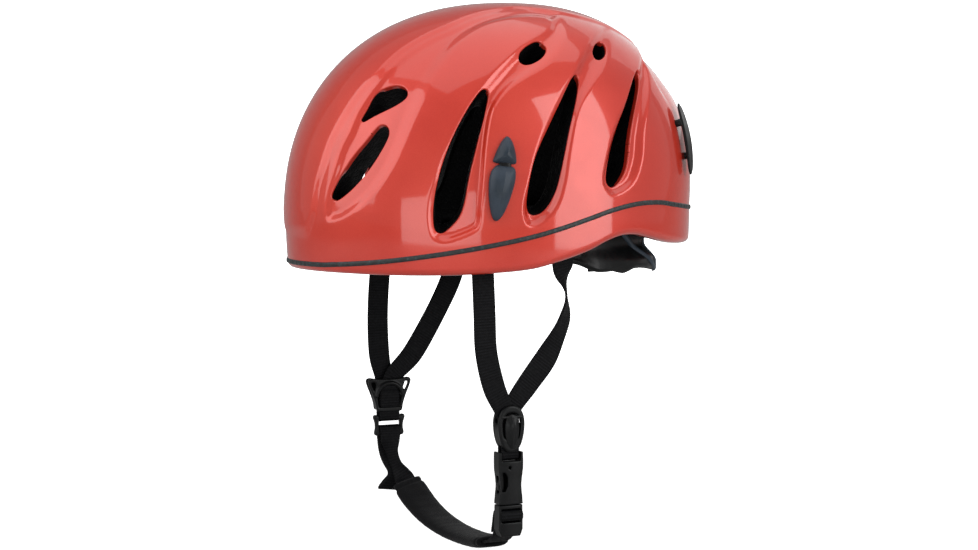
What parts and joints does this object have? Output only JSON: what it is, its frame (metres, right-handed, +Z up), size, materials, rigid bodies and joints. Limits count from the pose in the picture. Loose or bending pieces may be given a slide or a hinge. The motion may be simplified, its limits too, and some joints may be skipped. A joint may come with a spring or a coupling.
{
  "type": "climbing helmet",
  "caption": "In-mould climbing helmet: vented shell over foam, dial-adjusted rear cradle, four-point webbing harness, padded chin strap with side-release buckle and lamp clips.",
  "frame": {"origin": "centre of the head opening, level with the lowest point of the rim", "axes": "+Z up towards the crown, -Y the way the wearer faces, +X the wearer's left"},
  "size_m": [0.2114, 0.2851, 0.367],
  "materials": {
    "shell_red": "pearl metallic red, clear-coated",
    "trim_black": "satin, fine texture",
    "foam_black": "beaded foam skin",
    "pad_fabric": "brushed knit over foam",
    "hook_loop": "hook tape",
    "webbing": "ribbed woven webbing",
    "plastic_black": "fine spark-eroded texture",
    "clip_grey": "satin moulded",
    "acetal": "smooth moulded",
    "steel": "plain"
  },
  "bodies": {
    "root": {"upper_shell": "shell_red", "lower_shell": "shell_red", "trim_band": "trim_black", "eps_liner": "foam_black", "brow_pad": "pad_fabric", "crown_pad_centre": "pad_fabric", "crown_pad_left": "pad_fabric", "crown_pad_right": "pad_fabric", "hook_discs": "hook_loop", "strap_anchor_front_left": "plastic_black", "strap_anchor_rear_left": "plastic_black", "strap_anchor_front_right": "plastic_black", "strap_anchor_rear_right": "plastic_black", "anchor_bars": "steel", "lamp_clip_base_left": "clip_grey", "lamp_clip_base_right": "clip_grey", "rear_lamp_clip_left": "clip_grey", "rear_lamp_clip_right": "clip_grey", "temple_pin_left": "plastic_black", "temple_pin_right": "plastic_black"},
    "clip_left": {"lamp_clip_tongue_left": "clip_grey"},
    "clip_right": {"lamp_clip_tongue_right": "clip_grey"},
    "cradle": {"rear_cradle": "plastic_black", "cradle_cover": "plastic_black", "nape_pad": "pad_fabric", "detent_spring": "steel"},
    "dial": {"adjuster_dial": "plastic_black", "drive_pinion": "acetal", "dial_screw": "steel"},
    "band_left": {"left_band": "plastic_black"},
    "band_right": {"right_band": "plastic_black"},
    "harness": {"strap_front_left": "webbing", "strap_rear_left": "webbing", "strap_front_right": "webbing", "strap_rear_right": "webbing", "strap_divider_left": "plastic_black", "strap_divider_right": "plastic_black", "lever_pins": "steel", "buckle_loop": "webbing", "buckle_receptacle": "plastic_black", "slider_ring": "plastic_black", "chin_strap": "webbing", "chin_pad": "pad_fabric", "strap_end_tab": "webbing"},
    "lever_left": {"cam_lever_left": "clip_grey"},
    "lever_right": {"cam_lever_right": "clip_grey"},
    "plug": {"buckle_plug": "plastic_black"},
    "prong_front": {"buckle_prong_front": "plastic_black"},
    "prong_rear": {"buckle_prong_rear": "plastic_black"}
  },
  "joints": [
    {"name": "lamp_clip_flex_left", "type": "hinge", "parent": "root", "child": "clip_left", "pos_m": [0.10042, -0.03889, 0.06656], "axis": [-0.2017, -0.9794, 0], "range_deg": [0, 7], "stiffness_Nm_per_rad": 0.3},
    {"name": "lamp_clip_flex_right", "type": "hinge", "parent": "root", "child": "clip_right", "pos_m": [-0.10042, -0.03889, 0.06656], "axis": [-0.2017, 0.9794, 0], "range_deg": [0, 7], "stiffness_Nm_per_rad": 0.3},
    {"name": "cradle_tilt", "type": "hinge", "parent": "root", "child": "cradle", "pos_m": [0, 0.03326, 0.031], "axis": [1, 0, 0], "range_deg": [-10, 3]},
    {"name": "dial_turn", "type": "hinge", "parent": "cradle", "child": "dial", "pos_m": [0, 0.094, 0.031], "axis": [0, 1, 0], "range_deg": [-100, 100]},
    {"name": "band_left_run", "type": "hinge", "parent": "cradle", "child": "band_left", "pos_m": [0, 0.022, 0.031], "axis": [0, 0, 1], "range_deg": [-5.6, 5.6]},
    {"name": "band_right_run", "type": "hinge", "parent": "cradle", "child": "band_right", "pos_m": [0, 0.022, 0.031], "axis": [0, 0, 1], "range_deg": [-5.6, 5.6]},
    {"name": "harness_swing", "type": "hinge", "parent": "root", "child": "harness", "pos_m": [0, -0.016, 0.017], "axis": [1, 0, 0], "range_deg": [-12, 12], "deforming": ["strap_front_left", "strap_rear_left", "strap_front_right", "strap_rear_right"]},
    {"name": "lever_open_left", "type": "hinge", "parent": "harness", "child": "lever_left", "pos_m": [0.0839, -0.024, -0.0924], "axis": [0, -1, 0], "range_deg": [0, 70]},
    {"name": "lever_open_right", "type": "hinge", "parent": "harness", "child": "lever_right", "pos_m": [-0.0839, -0.044, -0.0864], "axis": [0, 1, 0], "range_deg": [0, 70]},
    {"name": "buckle_slide", "type": "slide", "parent": "harness", "child": "plug", "axis": [0, 0, -1], "range_m": [0, 0.035], "deforming": ["chin_strap", "chin_pad", "buckle_prong_front", "buckle_prong_rear"]},
    {"name": "prong_squeeze_front", "type": "hinge", "parent": "plug", "child": "prong_front", "pos_m": [0.079, -0.03, -0.1482], "axis": [-1, 0, 0], "range_deg": [0, 7], "stiffness_Nm_per_rad": 0.05},
    {"name": "prong_squeeze_rear", "type": "hinge", "parent": "plug", "child": "prong_rear", "pos_m": [0.079, -0.018, -0.1482], "axis": [1, 0, 0], "range_deg": [0, 7]}
  ],
  "couplings": [
    {"joint": "band_left_run", "follows": "dial_turn", "ratio": -0.054945},
    {"joint": "band_right_run", "follows": "dial_turn", "ratio": 0.054945},
    {"joint": "prong_squeeze_rear", "follows": "prong_squeeze_front", "ratio": 1}
  ]
}
